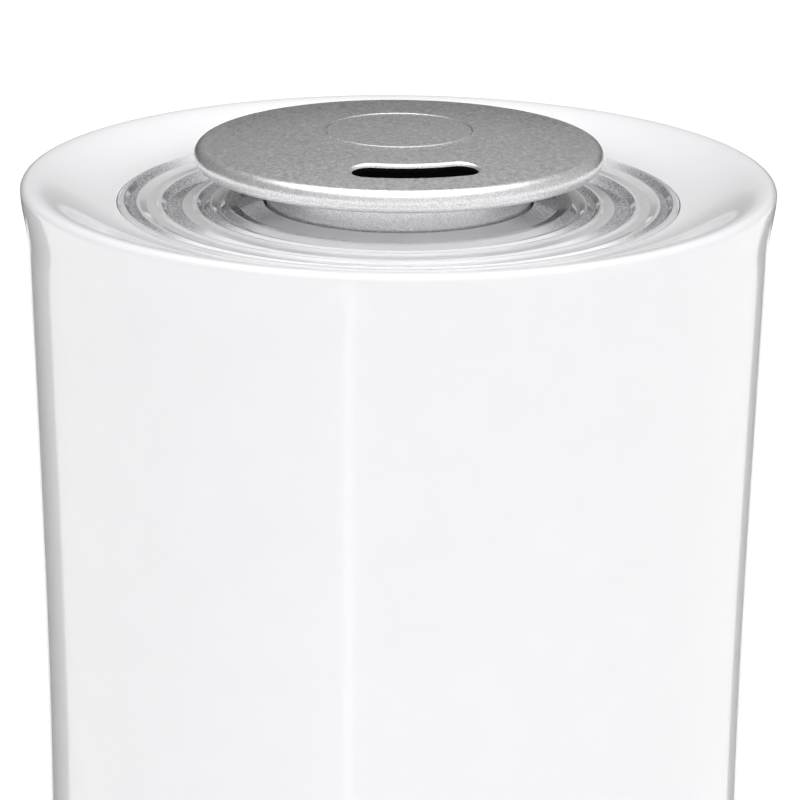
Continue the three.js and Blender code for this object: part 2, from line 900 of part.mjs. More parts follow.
// The duct narrows from the blower's bore to the air spout.
function airDuct() {
  const mouth = BLOWER_BORE - 1;
  const foot = BLOWER_HIGH + 0.4;
  const path = new THREE.Path();
  path.moveTo(mouth, foot);
  path.lineTo(mouth + 3, foot);
  path.lineTo(mouth + 3, 41);
  path.quadraticCurveTo(SPOUT_OUTER + 2, 62, SPOUT_OUTER, 84);
  path.lineTo(SPOUT_OUTER, DECK_LOW - GAP);
  path.lineTo(SPOUT_RADIUS, DECK_LOW - GAP);
  path.lineTo(SPOUT_RADIUS, 84);
  path.quadraticCurveTo(SPOUT_RADIUS + 2, 61, mouth, 41);
  return moved(turned(closedOutline(path, 3), MEDIUM), FAN_X);
}

const floatBore = FLOAT_POST + 0.6;
const atFloat = (made) => moved(made, FLOAT_X, FLOAT_Y);
const floatRing = () =>
  atFloat(
    turned(
      [
        [floatBore, 85.5],
        [9.5, 85.5],
        [9.5, 95.5],
        [6.4, 95.5],
        [6.4, 91.5],
        [floatBore, 91.5],
        [floatBore, 85.5],
      ],
      MEDIUM,
    ),
  );
const floatMagnet = () => atFloat(ring(3, 6, 91.8, 95.2, MEDIUM));
const floatCap = () => atFloat(rod(5, 102.3, 104, MEDIUM));

// ---------------------------------------------------------------- control panel on the base's front
const WINDOW_HEIGHT = 68;
const BUTTON_HEIGHT = 47.5;
const BUTTON_SPACING = 27;
const BUTTON_RADIUS = 7.2;
const BUTTON_TIP = -97.4; // the end of each button's stem
const BOARD_FACE = -92.3; // front face of the control board

const windowOutline = (margin) =>
  roundedRectangle(
    56 + 2 * margin,
    18 + 2 * margin,
    3 + margin,
    0,
    WINDOW_HEIGHT,
  );

function buttonOutline(radius, x) {
  const shape = new THREE.Shape();
  shape.absarc(x, BUTTON_HEIGHT, radius, 0, 2 * Math.PI);
  return shape;
}

// The part of the base's curved wall inside an outline, between two depths under its surface.
function curvedPlate(outline, shallow, deep, curveSegments = 3) {
  const low = 30;
  const high = 90;
  const shell = turned([
    [wallRadius(low) - deep, low],
    [wallRadius(low) - shallow, low],
    [wallRadius(high) - shallow, high],
    [wallRadius(high) - deep, high],
    [wallRadius(low) - deep, low],
  ]);
  return shell.intersect(prismAlongY(outline, -125, -70, curveSegments));
}

const buttonXs = [-BUTTON_SPACING, 0, BUTTON_SPACING];

// The panel's plate, with a shoulder behind the housing's wall and four posts for the control board.
function frontBezel() {
  const plate = curvedPlate(panelOutline(-GAP), 0.4, 3.8);
  const shoulder = curvedPlate(panelOutline(3), WALL + GAP, 4.8);
  const holes = buttonXs.map((x) =>
    prismAlongY(buttonOutline(BUTTON_RADIUS + 0.4, x), -125, -80, 8),
  );
  const boardPosts = [-39.5, 39.5].flatMap((x) =>
    [-13, 13].map((dz) =>
      rodAlongY(2.2, -101, BOARD_FACE - GAP, x, PANEL_HEIGHT + dz, TINY),
    ),
  );
  return joined(
    cutBy(
      joined(plate, shoulder),
      prismAlongY(windowOutline(0), -125, -70),
      ...holes,
    ),
    ...boardPosts,
  );
}

const displayWindow = () => curvedPlate(windowOutline(-GAP), 0.7, 2.6);
const displayModule = () => block([-25, -97.4, 61], [25, BOARD_FACE - GAP, 75]);
const controlBoard = () => block([-42, BOARD_FACE, 39], [42, -90.7, 77]);

// A round push button that follows the panel's curve, with a stop flange and a stem behind it.
function pushButton(x) {
  const head = curvedPlate(buttonOutline(BUTTON_RADIUS, x), -GAP, 6, 8);
  const flange = curvedPlate(
    buttonOutline(BUTTON_RADIUS + 1.6, x),
    5.2,
    6.6,
    8,
  );
  const stem = rodAlongY(2.2, -104, BUTTON_TIP, x, BUTTON_HEIGHT, TINY);
  return joined(head, flange, stem);
}

// The tactile switch behind a button, with its plunger a little short of the button's stem.
function buttonSwitch(x) {
  const plunger = BUTTON_TIP + 1.4;
  return joined(
    block(
      [x - 3, plunger + 0.8, BUTTON_HEIGHT - 3],
      [x + 3, BOARD_FACE - GAP, BUTTON_HEIGHT + 3],
    ),
    rodAlongY(1.7, plunger, plunger + 1.5, x, BUTTON_HEIGHT, TINY),
  );
}

// The round low-voltage inlet at the back, with its flange and centre pin.
function powerInlet() {
  const face = 108.4;
  const socketDepth = 9;
  const along = (radius, near, far, segments) =>
    rodAlongY(radius, near, far, 0, INLET_HEIGHT, segments);
  const barrel = joined(along(6, 94, face), along(9, 100.5, 104.4));
  return joined(
    cutBy(barrel, along(3.3, face - socketDepth, face + 1)),
    along(1.1, face - socketDepth - 1, face - 1.5, TINY),
  );
}

// ---------------------------------------------------------------- assembly
const base = new THREE.Group();
piece(base, "base_housing", baseHousing(), WHITE);
piece(base, "base_deck", baseDeck(), WHITE);
piece(base, "water_basin", waterBasin(), WHITE);
piece(base, "bottom_cover", bottomCover(), WHITE);
fourPlaces(FOOT_REACH).forEach(([x, y], i) =>
  piece(base, `foot_${i + 1}`, rubberFoot(), RUBBER).position.set(x, y, 0),
);
fourPlaces(SCREW_REACH).forEach(([x, y], i) =>
  piece(base, `cover_screw_${i + 1}`, coverScrew(), STEEL).position.set(
    x,
    y,
    0,
  ),
);
piece(base, "transducer_seal", transducerSeal(), RUBBER);
piece(base, "transducer_disc", transducerDisc(), STEEL);
piece(base, "transducer_retainer", transducerRetainer(), ALUMINIUM);
piece(base, "driver_board", driverBoard(), BOARD);
piece(base, "driver_heatsink", driverHeatsink(), ALUMINIUM);
piece(base, "power_board", powerBoard(), BOARD);
piece(base, "power_choke", powerChoke(), BLACK_PLASTIC);
piece(base, "power_capacitor", powerCapacitor(), BLACK_PLASTIC);
piece(base, "fan_frame", fanFrame(), BLACK_PLASTIC);
piece(base, "fan_motor", fanMotor(), BLACK_PLASTIC);
piece(base, "fan_impeller", fanImpeller(), BLACK_PLASTIC);
piece(base, "air_duct", airDuct(), WHITE);
piece(base, "float_ring", floatRing(), FLOAT_FOAM);
piece(base, "float_magnet", floatMagnet(), BLACK_PLASTIC);
piece(base, "float_cap", floatCap(), WHITE);
piece(base, "front_bezel", frontBezel(), SILVER);
piece(base, "display_window", displayWindow(), DARK);
piece(base, "display_module", displayModule(), BLACK_PLASTIC);
piece(base, "control_board", controlBoard(), BOARD);
["mist_button", "power_button", "humidity_button"].forEach((name, i) => {
  piece(base, name, pushButton(buttonXs[i]), SILVER);
  piece(base, `${name}_switch`, buttonSwitch(buttonXs[i]), BLACK_PLASTIC);
});
piece(base, "power_inlet", powerInlet(), BLACK_PLASTIC);

const tankTop = new THREE.Group();
tankTop.position.z = RIM_HEIGHT;
piece(tankTop, "tank_shell", tankShell(), WHITE);
piece(tankTop, "ring_insert", ringInsert(), CLEAR);
piece(tankTop, "nozzle_socket", nozzleSocket(), CLEAR);
piece(tankTop, "nozzle_glide_ring", glideRing(), SILICONE);

const tankBottom = new THREE.Group();
piece(tankBottom, "tank_floor", tankFloor(), WHITE);
piece(tankBottom, "mist_funnel", mistFunnel(), WHITE);
piece(tankBottom, "filling_neck", fillingNeck(), WHITE);
piece(tankBottom, "grip_pocket", gripPocket(), WHITE);
piece(tankBottom, "grip_bar", gripBar(), WHITE);
piece(tankBottom, "mist_chimney", mistChimney(), CLEAR);
piece(tankBottom, "chimney_seal", chimneySeal(), SILICONE);

const cap = new THREE.Group();
cap.position.x = CAP_X;
piece(cap, "tank_cap", tankCap(), WHITE);
piece(cap, "cap_gasket", capGasket(), SILICONE);
piece(cap, "valve_guide", valveGuide(), WHITE);
piece(cap, "valve_stem", valveStem(), WHITE);
piece(cap, "valve_seal", valveSeal(), RUBBER);
piece(cap, "valve_spring", valveSpring(), STEEL);
piece(cap, "filter_cartridge", filterCartridge(), CERAMIC);

const nozzle = new THREE.Group();
nozzle.position.z = RIM_HEIGHT;
nozzle.rotation.z = SLOT_HEADING;
piece(nozzle, "nozzle_cover", nozzleCover(), SILVER);
piece(nozzle, "nozzle_badge", nozzleBadge(), BADGE);
piece(nozzle, "nozzle_neck", nozzleNeck(), SILVER);

const humidifier = new THREE.Group();
humidifier.add(base, tankTop, tankBottom, cap, nozzle);
export default humidifier;
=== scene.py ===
"""Cool mist humidifier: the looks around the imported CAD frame.

Lengths are in metres in the row frame: +Z up, the front faces -Y. Profiles are written in
millimetres, as (radius, height) or (radius, height, rounding), and scaled by MM.
"""

import json
import math

import bmesh
import bpy
from mathutils import Matrix, Vector


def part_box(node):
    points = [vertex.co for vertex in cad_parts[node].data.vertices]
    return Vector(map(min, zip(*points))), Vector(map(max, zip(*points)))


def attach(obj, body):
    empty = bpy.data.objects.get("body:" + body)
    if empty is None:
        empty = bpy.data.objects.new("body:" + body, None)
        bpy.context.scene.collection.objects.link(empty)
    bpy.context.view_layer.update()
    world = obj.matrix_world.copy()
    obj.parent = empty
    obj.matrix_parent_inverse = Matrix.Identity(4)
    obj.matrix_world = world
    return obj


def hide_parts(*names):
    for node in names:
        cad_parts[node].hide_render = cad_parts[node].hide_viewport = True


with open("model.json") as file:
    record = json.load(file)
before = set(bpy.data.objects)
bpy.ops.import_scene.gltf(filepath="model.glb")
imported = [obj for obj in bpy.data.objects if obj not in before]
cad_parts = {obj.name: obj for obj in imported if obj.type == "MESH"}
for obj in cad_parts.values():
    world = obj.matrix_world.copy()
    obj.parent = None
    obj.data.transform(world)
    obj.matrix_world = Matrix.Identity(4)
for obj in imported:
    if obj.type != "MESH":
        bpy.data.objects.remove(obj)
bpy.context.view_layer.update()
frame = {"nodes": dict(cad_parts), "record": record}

MM = 0.001
ROUND = 256  # segments of a large circle
SMALL_ROUND = 96
SLOT_OF = {entry["node"]: entry["material_slot"] for entry in frame["record"]["subparts"]}
BODY_OF = {
    node: body for body, nodes in frame["record"]["behaviour"]["bodies"].items() for node in nodes
}


# ---------------------------------------------------------------- driving dimensions, from the frame
def top(node):
    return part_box(node)[1].z / MM


def bottom(node):
    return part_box(node)[0].z / MM


def radius_of(node):
    low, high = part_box(node)
    return (high.x - low.x) / 2 / MM


def centre_of(node):
    low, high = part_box(node)
    return (low + high) / 2


CREST = top("tank_shell")
RIM_RADIUS = radius_of("tank_shell")
SEAM = top("base_housing")
HOUSING_BOTTOM = bottom("base_housing")
TAPER = math.tan(math.radians(1.1))
WALL = 3.0
BORE = 17.5  # radius of the mist's way up and of the filling neck's bore
SLEEVE_INNER = 20.4  # the sleeves that hold the chimney's two ends
SLEEVE_OUTER = 23.4
NECK_RADIUS = 21.0
CAP_X = centre_of("tank_cap").x / MM
FAN_X = centre_of("fan_frame").x / MM
PANEL_Z = centre_of("front_bezel").z / MM
SLOT_HEADING = math.radians(6.5)


def wall_radius(z):
    return RIM_RADIUS - (CREST - z) * TAPER


def inner_radius(z):
    return wall_radius(z) - WALL


# ---------------------------------------------------------------- outlines
def arc(centre, radius, start, end, steps):
    """Points on a circle, from one angle in degrees to another."""
    turn = [math.radians(start + (end - start) * i / steps) for i in range(steps + 1)]
    return [(centre[0] + radius * math.cos(a), centre[1] + radius * math.sin(a)) for a in turn]


def bezier(a, b, c, d, steps):
    """Points on a cubic curve after its first point."""
    points = []
    for i in range(1, steps + 1):
        t = i / steps
        weights = ((1 - t) ** 3, 3 * t * (1 - t) ** 2, 3 * t * t * (1 - t), t**3)
        points.append(tuple(sum(w * p[k] for w, p in zip(weights, (a, b, c, d))) for k in (0, 1)))
    return points


def rounded(outline, closed=True, steps=5):
    """The outline with an arc at each point that gives a rounding as its third number."""
    made = []
    count = len(outline)
    for i, point in enumerate(outline):
        here = Vector(point[:2])
        at_end = not closed and i in (0, count - 1)
        if len(point) < 3 or at_end:
            made.append(tuple(here))
            continue
        back = Vector(outline[i - 1][:2]) - here
        ahead = Vector(outline[(i + 1) % count][:2]) - here
        half = back.angle(ahead) / 2
        reach = min(point[2] / math.tan(half), 0.49 * back.length, 0.49 * ahead.length)
        radius = reach * math.tan(half)
        start = here + back.normalized() * reach
        end = here + ahead.normalized() * reach
        centre = here + (back.normalized() + ahead.normalized()).normalized() * radius / math.sin(half)
        for k in range(steps + 1):
            spoke = (start - centre).slerp(end - centre, k / steps)  # of length 1
            made.append(tuple(centre + spoke * radius))
    return made


def rectangle(x0, x1, z0, z1, radius, steps=6):
    """A rounded rectangle's outline."""
    corners = [(x0, z0, radius), (x1, z0, radius), (x1, z1, radius), (x0, z1, radius)]
    return rounded(corners, steps=steps)


# ---------------------------------------------------------------- meshes
def new_object(name, bm):
    bmesh.ops.recalc_face_normals(bm, faces=bm.faces)
    mesh = bpy.data.meshes.new(name)
    bm.to_mesh(mesh)
    bm.free()
    made = bpy.data.objects.new(name, mesh)
    bpy.context.scene.collection.objects.link(made)
    return made


def lathe(name, outline, segments=ROUND, centre=(0, 0), closed=True):
    """A solid turned round a vertical axis. An open outline starts and ends on the axis."""
    bm = bmesh.new()
    rings = []
    for r, z in (point[:2] for point in outline):
        if r < 1e-6:
            rings.append([bm.verts.new((centre[0] * MM, centre[1] * MM, z * MM))])
            continue
        ring = []
        for i in range(segments):
            a = 2 * math.pi * i / segments
            x, y = centre[0] + r * math.cos(a), centre[1] + r * math.sin(a)
            ring.append(bm.verts.new((x * MM, y * MM, z * MM)))
        rings.append(ring)
    pairs = list(zip(rings, rings[1:]))
    if closed:
        pairs.append((rings[-1], rings[0]))
    for low, high in pairs:
        for i in range(segments):
            j = (i + 1) % segments
            a, b = low[i % len(low)], low[j % len(low)]
            c, d = high[j % len(high)], high[i % len(high)]
            corners = list(dict.fromkeys((a, b, c, d)))
            if len(corners) > 2:
                bm.faces.new(corners)
    return new_object(name, bm)


def prism(name, outline, low, high, axis="Z"):
    """A flat outline extruded along Z, or along Y when it is drawn in x and z."""
    bm = bmesh.new()

    def place(p, depth):
        return (p[0] * MM, p[1] * MM, depth * MM) if axis == "Z" else (p[0] * MM, depth * MM, p[1] * MM)

    near = [bm.verts.new(place(p, low)) for p in outline]
    far = [bm.verts.new(place(p, high)) for p in outline]
    bm.faces.new(near)
    bm.faces.new(far)
    for i in range(len(outline)):
        j = (i + 1) % len(outline)
        bm.faces.new((near[i], near[j], far[j], far[i]))
    return new_object(name, bm)


def combine(target, operation, *tools):
    """Joins the tools to the target, or cuts them from it, and removes them."""
    for tool in tools:
        modifier = target.modifiers.new("boolean", "BOOLEAN")
        modifier.operation = operation
        modifier.solver = "EXACT"
        modifier.object = tool
    bake(target)
    for tool in tools:
        bpy.data.objects.remove(tool)
    return target


def bake(target):
    """Applies the modifiers."""
    graph = bpy.context.evaluated_depsgraph_get()
    mesh = bpy.data.meshes.new_from_object(target.evaluated_get(graph))
    target.modifiers.clear()
    target.data = mesh


def cut(target, *tools):
    return combine(target, "DIFFERENCE", *tools)


def join(target, *tools):
    return combine(target, "UNION", *tools)


def soften(target, width, angle=35, segments=3):
    """Rounds the edges that are sharper than an angle."""
    modifier = target.modifiers.new("soft edges", "BEVEL")
    modifier.width = width * MM
    modifier.segments = segments
    modifier.limit_method = "ANGLE"
    modifier.angle_limit = math.radians(angle)
    bake(target)
    return target


def smooth(target, angle=32):
    """Smooth shading, with the edges sharper than an angle kept sharp."""
    target.data.shade_smooth()
    target.data.set_sharp_from_angle(angle=math.radians(angle))
    modifier = target.modifiers.new("weighted normals", "WEIGHTED_NORMAL")
    modifier.keep_sharp = True
    return target


# ---------------------------------------------------------------- materials
def shader(name, **sockets):
    """A new material, its node tree and its Principled shader, with plain values set on its sockets."""
    material = bpy.data.materials.new(name)
    material.use_nodes = True
    tree = material.node_tree
    principled = tree.nodes["Principled BSDF"]
    for socket, value in sockets.items():
        principled.inputs[socket.replace("_", " ")].default_value = value
    return material, tree, principled


def noise(tree, scale, detail=2.0, stretch=(1, 1, 1)):
    """A noise texture in the row frame, where scale counts its features per metre."""
    place = tree.nodes.new("ShaderNodeTexCoord")
    mapping = tree.nodes.new("ShaderNodeMapping")
    mapping.inputs["Scale"].default_value = stretch
    texture = tree.nodes.new("ShaderNodeTexNoise")
    texture.inputs["Scale"].default_value = scale
    texture.inputs["Detail"].default_value = detail
    tree.links.new(place.outputs["Object"], mapping.inputs["Vector"])
    tree.links.new(mapping.outputs["Vector"], texture.inputs["Vector"])
    return texture.outputs["Fac"]


def tint(tree, principled, fac, dark, light, spread=0.2):
    """The base colour runs from dark to light with a texture's value round its middle."""
    ramp = tree.nodes.new("ShaderNodeValToRGB")
    ramp.color_ramp.elements[0].position = 0.5 - spread
    ramp.color_ramp.elements[1].position = 0.5 + spread
    ramp.color_ramp.elements[0].color = (*dark, 1)
    ramp.color_ramp.elements[1].color = (*light, 1)
    tree.links.new(fac, ramp.inputs["Fac"])
    tree.links.new(ramp.outputs["Color"], principled.inputs["Base Color"])
    return ramp


def vary(tree, fac, socket, low, high):
    """A socket's value runs from low to high with a texture's value."""
    spread = tree.nodes.new("ShaderNodeMapRange")
    spread.inputs["From Min"].default_value = 0.3
    spread.inputs["From Max"].default_value = 0.7
    spread.inputs["To Min"].default_value = low
    spread.inputs["To Max"].default_value = high
    tree.links.new(fac, spread.inputs["Value"])
    tree.links.new(spread.outputs["Result"], socket)


def bump(tree, principled, fac, depth, strength=1.0):
    """A bump whose height is depth millimetres."""
    node = tree.nodes.new("ShaderNodeBump")
    node.inputs["Strength"].default_value = strength
    node.inputs["Distance"].default_value = depth * MM
    tree.links.new(fac, node.inputs["Height"])
    tree.links.new(node.outputs["Normal"], principled.inputs["Normal"])


def shades(colour, spread):
    return [tuple(min(1.0, c * (1 + sign * spread)) for c in colour) for sign in (-1, 1)]


def moulded(name, colour, rough, grain=900, depth=0.01, spread=0.02, **sockets):
    """Moulded plastic: faint cloudiness in its colour and a fine skin that varies its gloss."""
    material, tree, principled = shader(name, **sockets)
    tint(tree, principled, noise(tree, 60), *shades(colour, spread))
    skin = noise(tree, grain, 3)
    vary(tree, skin, principled.inputs["Roughness"], rough * 0.85, rough * 1.15)
    bump(tree, principled, skin, depth, 0.4)
    return material


def metallic_paint(name, colour, rough, **sockets):
    """Satin paint with metal flakes that show as a fine speckle."""
    material, tree, principled = shader(name, **sockets)
    flakes = noise(tree, 2200, 1)
    tint(tree, principled, flakes, *shades(colour, 0.15), spread=0.16)
    vary(tree, noise(tree, 700, 2), principled.inputs["Roughness"], rough * 0.85, rough * 1.2)
    bump(tree, principled, flakes, 0.02, 0.25)
    return material


def bare_metal(name, colour, rough, stretch=(1, 1, 1), **sockets):
    """Plain metal with fine brushing along the short direction of the stretch."""
    material, tree, principled = shader(name, Metallic=1.0, **sockets)
    lines = noise(tree, 500, 3, stretch)
    tint(tree, principled, lines, *shades(colour, 0.06))
    vary(tree, lines, principled.inputs["Roughness"], rough * 0.7, rough * 1.3)
    bump(tree, principled, lines, 0.01, 0.3)
    return material


def circuit_board(name):
    """Green solder mask with faint copper tracks under it."""
    material, tree, principled = shader(name, Coat_Weight=0.4, Coat_Roughness=0.15)
    tracks = noise(tree, 120, 0, (1, 3, 1))
    tint(tree, principled, tracks, (0.006, 0.07, 0.03), (0.02, 0.17, 0.07), spread=0.03)
    vary(tree, noise(tree, 800), principled.inputs["Roughness"], 0.3, 0.5)
    bump(tree, principled, tracks, 0.03, 0.5)
    return material


def side_shaded(name, dark, light, **sockets):
    """Clear plastic with painted shade and reflection: light at the front and back, painted dark and
    speckled at the two sides.
    """
    material, tree, principled = shader(name, **sockets)
    place = tree.nodes.new("ShaderNodeTexCoord")
    flat = tree.nodes.new("ShaderNodeMapping")
    flat.inputs["Scale"].default_value = (1, 1, 0)
    outward = tree.nodes.new("ShaderNodeVectorMath")
    outward.operation = "NORMALIZE"
    split = tree.nodes.new("ShaderNodeSeparateXYZ")
    size = tree.nodes.new("ShaderNodeMath")
    size.operation = "ABSOLUTE"
    # painted shade mask: 0 at the front and back, 1 at the two sides
    sides = tree.nodes.new("ShaderNodeMapRange")
    sides.interpolation_type = "SMOOTHSTEP"
    sides.inputs["From Min"].default_value = 0.72
    sides.inputs["From Max"].default_value = 0.97
    tree.links.new(place.outputs["Object"], flat.inputs["Vector"])
    tree.links.new(flat.outputs["Vector"], outward.inputs[0])
    tree.links.new(outward.outputs["Vector"], split.inputs["Vector"])
    tree.links.new(split.outputs["X"], size.inputs[0])
    tree.links.new(size.outputs["Value"], sides.inputs["Value"])
    # the speckle breaks up the painted shade at the sides
    speckle = noise(tree, 1800, 2)
    vary(tree, speckle, sides.inputs["To Max"], 0.45, 1.0)
    tint(tree, principled, sides.outputs["Result"], light, dark, spread=0.5)
    bump(tree, principled, speckle, 0.03, 0.3)
    return material


def ceramic(name):
    """Porous filter ceramic: pits and a mottled cream colour."""
    material, tree, principled = shader(name)
    pores = noise(tree, 900, 4)
    tint(tree, principled, pores, (0.55, 0.48, 0.36), (0.84, 0.78, 0.66))
    vary(tree, pores, principled.inputs["Roughness"], 0.75, 0.95)
    bump(tree, principled, pores, 0.15, 0.8)
    return material


MATERIALS = {
    "tank_white": moulded(
        "milky_white", (0.845, 0.845, 0.86), 0.35, spread=0.006, Coat_Weight=0.8, Coat_Roughness=0.09
    ),
    "base_white": moulded("gloss_white", (0.80, 0.80, 0.81), 0.3),
    "clear_insert": moulded(
        "clear_plastic", (0.90, 0.90, 0.93), 0.08, Transmission_Weight=0.1, IOR=1.49,
        Coat_Weight=0.6, Subsurface_Weight=0.7, Subsurface_Radius=(1, 1, 1), Subsurface_Scale=0.02,
    ),
    "nozzle_silver": metallic_paint("silver_paint", (0.86, 0.86, 0.865), 0.32, Metallic=1.0),
    "inner_white": moulded("matt_white", (0.82, 0.82, 0.83), 0.5),
    "dark_window": moulded("black_gloss", (0.012, 0.012, 0.014), 0.06, depth=0.002, Coat_Weight=0.6),
    "silicone": moulded("silicone", (0.70, 0.71, 0.73), 0.5, Subsurface_Weight=0.2),
    "foot_rubber": moulded("dark_rubber", (0.03, 0.03, 0.033), 0.75, depth=0.05, spread=0.15),
    "board_green": circuit_board("circuit_board"),
    "black_plastic": moulded("black_plastic", (0.02, 0.02, 0.022), 0.5, depth=0.03, spread=0.15),
    "bright_steel": bare_metal("bright_steel", (0.56, 0.56, 0.58), 0.28),
    "plain_aluminium": bare_metal("aluminium", (0.74, 0.75, 0.77), 0.35, (1, 8, 1)),
    "filter_ceramic": ceramic("filter_ceramic"),
    "float_foam": moulded("float_foam", (0.78, 0.83, 0.88), 0.6, grain=1500, depth=0.05),
}
# Painted shade and reflection for the insert's rings: dark crescents at the two sides, light at the front
# and back.
GROOVE_PAINTED_SHADE = side_shaded(
    "groove_painted_shade", (0.12, 0.12, 0.13), (0.90, 0.90, 0.93), Roughness=0.1, Coat_Weight=0.6
)
# Painted shade: the disc's insides are near black, so the slot looks dark as if in shadow, though the disc
# casts none.
INSIDE_PAINTED_SHADE = moulded(
    "inside_painted_shade", (0.004, 0.004, 0.004), 0.8, depth=0.03, Specular_IOR_Level=0.05
)
PANEL_SILVER = metallic_paint("panel_silver", (0.60, 0.60, 0.61), 0.36, Metallic=1.0)


def finished(piece, node, *more_nodes, material=None):
    """Gives a piece its material and puts it in place of its CAD nodes, on their body."""
    piece.data.materials.clear()
    piece.data.materials.append(material or MATERIALS[SLOT_OF[node]])
    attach(piece, BODY_OF[node])
    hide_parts(node, *more_nodes)
    return piece


# ---------------------------------------------------------------- tank
def from_crest(outline):
    """An outline whose heights count from the tank's crest."""
    return [(point[0], CREST + point[1], *point[2:]) for point in outline]


def tank_shell():
    """The outer wall and the dished top, as one moulding."""
    crest_round = 2.6
    dish_edge = 86.0
    dish_depth = -7.2
    low = bottom("tank_shell") - CREST
    shoulder = -8.0

    def outer(z):
        return wall_radius(CREST + z)

    # The wall draws in below the crest's lip and comes back to the base's width at the seam.
    waist = -20.0
    low_third = low + (waist - low) / 3
    high_third = low + (waist - low) * 2 / 3
    waist_point = (outer(waist) - 1.65, waist)
    lip_point = (RIM_RADIUS, -crest_round)
    outline = [(outer(low) - 1.2, low, 0.5)]
    outline += bezier(
        (outer(low), low + 0.6),
        (outer(low_third) - 2.6, low_third),
        (outer(high_third) - 1.7, high_third),
        waist_point,
        24,
    )
    neck = bezier(waist_point, (outer(-13) - 1.6, -13), (RIM_RADIUS - 0.2, -8), lip_point, 16)
    outline += neck[1:-1]
    outline += arc((RIM_RADIUS - crest_round, -crest_round), crest_round, 0, 90, 14)
    outline += bezier(outline[-1], (106, 0), (100, -6.6), (dish_edge, dish_depth), 28)
    under = (dish_edge, dish_depth - WALL)
    outline.append(under)
    shoulder_point = (outer(shoulder) - WALL, shoulder)
    outline += bezier(under, (98, under[1]), (104, -9.6), shoulder_point, 12)
    outline.append((outer(low) - WALL, low))
    return finished(smooth(lathe("tank_wall", from_crest(rounded(outline)))), "tank_shell")


def ring_insert():
    """The clear insert: stepped rings round the nozzle, the nozzle's socket and the chimney's sleeve."""
    edge = radius_of("ring_insert")
    dish = -7.2
    floor = -23.0
    rings = [
        (85.0, -6.7, 0.6),
        (83.6, -6.6, 0.5),
        (82.2, -8.5, 0.5),
        (80.6, -8.5, 0.5),
        (79.9, -7.2, 0.4),
        (79.0, -7.3, 0.4),
        (76.8, -8.2, 1.5),
        (74.0, -8.2, 0.8),
        (73.2, -7.5, 0.3),
        (72.4, -7.6, 0.3),
        (70.6, -9.4, 1.0),
        (66.0, -8.9, 2.0),
        (63.0, -8.7, 0.6),
        (62.3, -7.9, 0.3),
        (61.5, -8.0, 0.3),
        (60.0, -9.6, 0.8),
        (57.8, -8.3, 0.4),
        (57.0, -8.4, 0.4),
        (55.0, -9.5, 0.8),
        (53.0, -7.7, 0.3),
        (52.2, -7.7, 0.3),
        (49.0, -8.2, 1.5),
    ]
    # bands of painted shade: the three outer ones lie in the rings' grooves, the inmost one is the zone
    # round the neck
    grooves = ((79.9, 84.0), (66.0, 72.3), (57.5, 61.5), (45.0, 54.0))
    socket = 41.2
    outline = [
        (edge, dish, 0.2),
        *rings,
        (socket, dish, 0.6),
        (socket, floor),
        (BORE, floor, 0.5),
        (BORE, floor - WALL),
        (SLEEVE_INNER, floor - WALL),
        (SLEEVE_INNER, -40.0, 0.4),
        (SLEEVE_OUTER, -40.0, 0.4),
        (SLEEVE_OUTER, floor - WALL, 1.0),
        (socket + WALL, floor - WALL, 1.0),
        (socket + WALL, -11.0, 1.0),
        (edge, -11.0),
    ]
    made = lathe("stepped_rings", from_crest(rounded(outline)))
    finished(smooth(made, 50), "ring_insert", "nozzle_socket")
    made.data.materials.append(GROOVE_PAINTED_SHADE)
    # the upward faces in these bands take the painted side shade
    for face in made.data.polygons:
        r = math.hypot(face.center.x, face.center.y) / MM
        in_painted_shade_band = any(low < r < high for low, high in grooves)
        face.material_index = int(in_painted_shade_band and face.normal.z > 0)
    return made


# ---------------------------------------------------------------- nozzle
DISC_ROUND = 3.5
DISC_MIDDLE = 6.8
DISC_EDGE = 58.9
DOME_RISE = 4.5
BADGE_RADIUS = 22.1
BADGE_DEPTH = 0.9
SLOT_RADIUS = 44.6
SLOT_WIDTH = 10.2
SLOT_HALF_ANGLE = math.radians(17.7)
SLOT_LIP = 1.1
COVER_SHELL = 2.0
BEAD = 0.16  # height of the fine bead round the badge


def dome(r, drop=0.0):
    """A point of the disc's domed top at radius r, counted from the crest."""
    return (r, DISC_MIDDLE + DISC_ROUND + DOME_RISE * (1 - (r / DISC_EDGE) ** 2) - drop)


def slot_outline(margin=0.0):
    """The mist slot: an arc round the disc's centre with round ends."""
    heading = math.degrees(SLOT_HEADING) - 90
    half = math.degrees(SLOT_HALF_ANGLE)
    ends = [arc((0, 0), SLOT_RADIUS, heading + side * half, heading + side * half, 1)[0] for side in (-1, 1)]
    width = SLOT_WIDTH / 2 + margin
    outline = arc((0, 0), SLOT_RADIUS + width, heading - half, heading + half, 24)
    outline += arc(ends[1], width, heading + half, heading + half + 180, 16)[1:]
    outline += arc((0, 0), SLOT_RADIUS - width, heading + half, heading - half, 24)[1:]
    outline += arc(ends[0], width, heading - half + 180, heading - half + 360, 16)[1:-1]
    return outline


def slot_cutter():
    """The slot's hollow, which widens in a round lip where it meets the domed top."""
    layers = [(slot_outline(), [CREST + 4] * len(slot_outline()))]
    steps = 8
    for k in range(steps + 1):
        angle = math.pi / 2 * (1 - k / steps)
        outline = slot_outline(SLOT_LIP * (1 - math.sin(angle)))
        drop = SLOT_LIP * (1 - math.cos(angle))
        layers.append((outline, [CREST + dome(math.hypot(*p), drop)[1] for p in outline]))
    widest = slot_outline(SLOT_LIP)
    layers.append((widest, [CREST + 17] * len(widest)))
    bm = bmesh.new()
    loops = []
    for outline, heights in layers:
        loops.append([bm.verts.new((x * MM, y * MM, z * MM)) for (x, y), z in zip(outline, heights)])
    bm.faces.new(loops[0])
    bm.faces.new(loops[-1])
    for near, far in zip(loops, loops[1:]):
        for i in range(len(near)):
            bm.faces.new((near[i - 1], near[i], far[i], far[i - 1]))
    return new_object("slot", bm)


